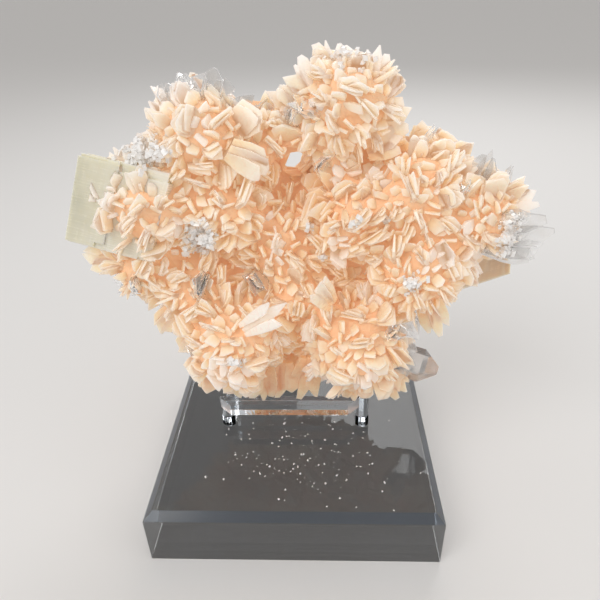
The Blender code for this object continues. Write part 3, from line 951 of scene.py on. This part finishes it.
def calcite_material(name, *stops):
    # Fine lines along both cleavages, with cloudy veils
    made, nodes, links, shader = new_material(name)
    along = fact(nodes, "along")
    down = fact(nodes, "down")
    place = nodes.new("ShaderNodeCombineXYZ")
    links.new(maths(nodes, links, "MULTIPLY", along, 1.2), place.inputs[0])
    links.new(maths(nodes, links, "MULTIPLY", down, 26), place.inputs[1])
    across_lines = cloud(nodes, links, 2, 4, place.outputs[0])
    upright = nodes.new("ShaderNodeCombineXYZ")
    links.new(maths(nodes, links, "MULTIPLY", along, 12), upright.inputs[0])
    links.new(maths(nodes, links, "MULTIPLY", down, 1.0), upright.inputs[1])
    upright_lines = maths(nodes, links, "MULTIPLY", cloud(nodes, links, 1.5, 3, upright.outputs[0]), 0.45)
    lines = maths(nodes, links, "MULTIPLY_ADD", across_lines, 0.55, upright_lines)
    veils = cloud(nodes, links, 110, 4)
    total = maths(nodes, links, "MULTIPLY_ADD", along, 0.5, maths(nodes, links, "MULTIPLY", lines, 0.4))
    total = maths(nodes, links, "MULTIPLY_ADD", veils, 0.5, maths(nodes, links, "ADD", total, -0.15))
    links.new(shades(nodes, links, total, *stops), shader.inputs["Base Color"])
    let_light_in(shader, 1, CALCITE_DEPTHS, 2.5)
    shader.inputs["IOR"].default_value = CALCITE_IOR
    links.new(maths(nodes, links, "MULTIPLY_ADD", lines, 0.4, 0.05), shader.inputs["Roughness"])
    bumpy(nodes, links, shader, lines, 0.3, 0.12)
    return made


def stepped_rhomb(name, rhomb, steps, look, slot, node):
    patch = new_patch(name)
    for shares in steps:
        grow(patch, rhomb_step(rhomb[0], rhomb[1:], shares))
    dress(joined(patch, name), look, slot, node)


pale_look = calcite_material("pale_calcite", *PALE_SHADES)
tan_look = calcite_material("tan_calcite", *TAN_SHADES)
stepped_rhomb("pale_rhomb", PALE_RHOMB, PALE_STEPS, pale_look, "pale_calcite", "calcite_rhomb_left")
stepped_rhomb("tan_rhomb", TAN_RHOMB, TAN_STEPS, tan_look, "tan_calcite", "calcite_rhomb_right")


# Clear crystal: a square glassy crystal with a pointed end, grown out of the cluster low on the
# right. Its solid keeps its shape, with faint veils inside.
crystal = bpy.data.objects["clear_crystal"]
crystal.data.materials.clear()
crystal.data.materials.append(glassy_material())


# Dust: fine flakes and chips that lie loose on the block's top, most of them in front of the
# cluster. They are broken off the crystals, so they are tiny skewed blocks of the same white.
DUST_AMOUNT = 170
DUST_SEED = 8
DUST_MIDDLE = (2, -18)
DUST_SPREAD = (14, 11)
DUST_ROOM = ((-40, 40), (-40, 30))
FLAKE_SIZES = (0.14, 0.42)
SPARKLE_SHADES = ((0.3, (0.9, 0.88, 0.86, 1)), (0.7, (0.97, 0.96, 0.95, 1)))
SPARKLE_IOR = 1.55
WHOLE_STEP = ((0, 1), (0, 1), (0, 1))


def tiny_crystal(chance, point, size):
    # A small skewed block, turned at random
    turn = chance.uniform(0, 6.283)
    axis = Vector([chance.gauss(0, 1) for _ in range(3)]).normalized()
    shape = ((1, 0, 0), (0.25, 0.9, 0), (0.2, 0.15, 0.8 + chance.random()))
    edges = [Matrix.Rotation(turn, 3, axis) @ Vector(e) * size for e in shape]
    corner = point - (edges[0] + edges[1] + edges[2]) / 2
    return rhomb_step(corner, edges, WHOLE_STEP)


def sparkling_material():
    made, nodes, links, shader = new_material("frosted_crystals")
    grain = cloud(nodes, links, 900, 2)
    links.new(shades(nodes, links, grain, *SPARKLE_SHADES), shader.inputs["Base Color"])
    shader.inputs["IOR"].default_value = SPARKLE_IOR
    links.new(maths(nodes, links, "MULTIPLY", grain, 0.5), shader.inputs["Roughness"])
    return made


def scattered(chance, axis):
    low, high = DUST_ROOM[axis]
    return max(low, min(high, chance.gauss(DUST_MIDDLE[axis], DUST_SPREAD[axis])))


dust_patch = new_patch("dust_patch")
chance = random.Random(DUST_SEED)
block_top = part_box("stand_block")[1].z / MM
for _ in range(DUST_AMOUNT):
    x = scattered(chance, 0)
    y = scattered(chance, 1)
    size = chance.uniform(*FLAKE_SIZES)
    grow(dust_patch, tiny_crystal(chance, Vector((x, y, block_top + size * 0.3)), size))
dress(joined(dust_patch, "dust_flakes"), sparkling_material(), "clear_crystal")


# Frosted crystals: patches of tiny, sparkling white crystals grown over the blades. Each patch is
# given by where the sight line to its middle crosses the plane y = 0, its half sizes and how
# many crystals it has.
FROST_PATCHES = (
    (-39.7, 116.7, 6.8, 4.8, 190),
    (-26.8, 90.5, 5.2, 5.6, 150),
    (63.3, 89.7, 3, 7.4, 110),
    (5.8, 94.3, 1.2, 1.6, 10),
    (9.3, 84.2, 1.2, 2, 12),
    (18.9, 95, 1.5, 1.5, 10),
    (27.8, 94.9, 1.2, 1.2, 8),
    (36.8, 74, 3, 4, 34),
    (-20.4, 44.6, 3.4, 1.6, 22),
    (16.6, 139.5, 7, 3, 40),
)
FROST_SIZES = (0.45, 1.25)
PATCH_SPREAD = 0.45
PATCH_REACH = 26

trees = []
for piece in grown:
    points = [v.co / MM for v in piece.data.vertices]
    trees.append(BVHTree.FromPolygons(points, [tuple(f.vertices) for f in piece.data.polygons]))
frost_patch = new_patch("frost_patch")
for x, z, half_x, half_z, amount in FROST_PATCHES:
    for number in range(amount):
        chance = random.Random(int(x * 10) * 1009 + number)
        aside = chance.gauss(0, PATCH_SPREAD) * half_x
        spot = Vector((x + aside, 0, z + chance.gauss(0, PATCH_SPREAD) * half_z))
        sight = (spot - CAMERA_PLACE).normalized()
        hits = [tree.ray_cast(CAMERA_PLACE, sight) for tree in trees]
        hits = [h for h in hits if h[0] is not None]
        if not hits:
            continue
        nearest = min(hits, key=lambda h: h[3])[0]
        if (nearest - spot).length < PATCH_REACH:
            grow(frost_patch, tiny_crystal(chance, nearest, chance.uniform(*FROST_SIZES)))
dress(joined(frost_patch, "frosted_crystals"), sparkling_material(), "clear_crystal")


# Studio: a plain pale floor, soft lights from above, in front and behind, and a camera at the
# photograph's own angle.
CAMERA_YAW = 2.761
CAMERA_TILT = 59.129
CAMERA_ROLL = -1.814
CAMERA_LENS = 33.22
FLOOR_SIZE = 30
FLOOR_COLOUR = (0.74, 0.73, 0.72, 1)
FLOOR_ROUGHNESS = 0.8
LIT_PLACE = (0, 0, 0.09)
ROOM_LIGHT = (1, 0.98, 0.96, 1)
ROOM_STRENGTH = 0.58


def pale_floor():
    bm = bmesh.new()
    bmesh.ops.create_grid(bm, x_segments=2, y_segments=2, size=FLOOR_SIZE / 2)
    mesh = bpy.data.meshes.new("studio_floor")
    bm.to_mesh(mesh)
    bm.free()
    floor = bpy.data.objects.new("studio_floor", mesh)
    scene.collection.objects.link(floor)
    made, _, _, shader = new_material("floor_paper")
    shader.inputs["Base Color"].default_value = FLOOR_COLOUR
    shader.inputs["Roughness"].default_value = FLOOR_ROUGHNESS
    mesh.materials.append(made)


def soft_light(name, place, size, energy):
    lamp = bpy.data.lights.new(name, "AREA")
    lamp.size = size
    lamp.energy = energy
    made = bpy.data.objects.new(name, lamp)
    scene.collection.objects.link(made)
    made.location = place
    made.rotation_euler = (Vector(LIT_PLACE) - Vector(place)).to_track_quat("-Z", "Y").to_euler()


pale_floor()
soft_light("key", (-0.35, -0.45, 0.65), 0.5, 2.5)
soft_light("fill", (0.6, -0.35, 0.35), 0.6, 0.8)
soft_light("back", (0.15, 0.5, 0.55), 0.4, 1.5)
world = bpy.data.worlds.new("studio")
world.use_nodes = True
world.node_tree.nodes["Background"].inputs["Color"].default_value = ROOM_LIGHT
world.node_tree.nodes["Background"].inputs["Strength"].default_value = ROOM_STRENGTH
scene.world = world

camera = bpy.data.objects.new("camera", bpy.data.cameras.new("camera"))
scene.collection.objects.link(camera)
camera.data.lens = CAMERA_LENS
camera.data.sensor_width = 36
camera.data.clip_start = 0.01
camera.matrix_world = (
    Matrix.Translation(CAMERA_PLACE * MM)
    @ Matrix.Rotation(math.radians(CAMERA_YAW), 4, "Z")
    @ Matrix.Rotation(math.radians(CAMERA_TILT), 4, "X")
    @ Matrix.Rotation(math.radians(CAMERA_ROLL), 4, "Z")
)
scene.camera = camera
scene.view_settings.view_transform = "Standard"
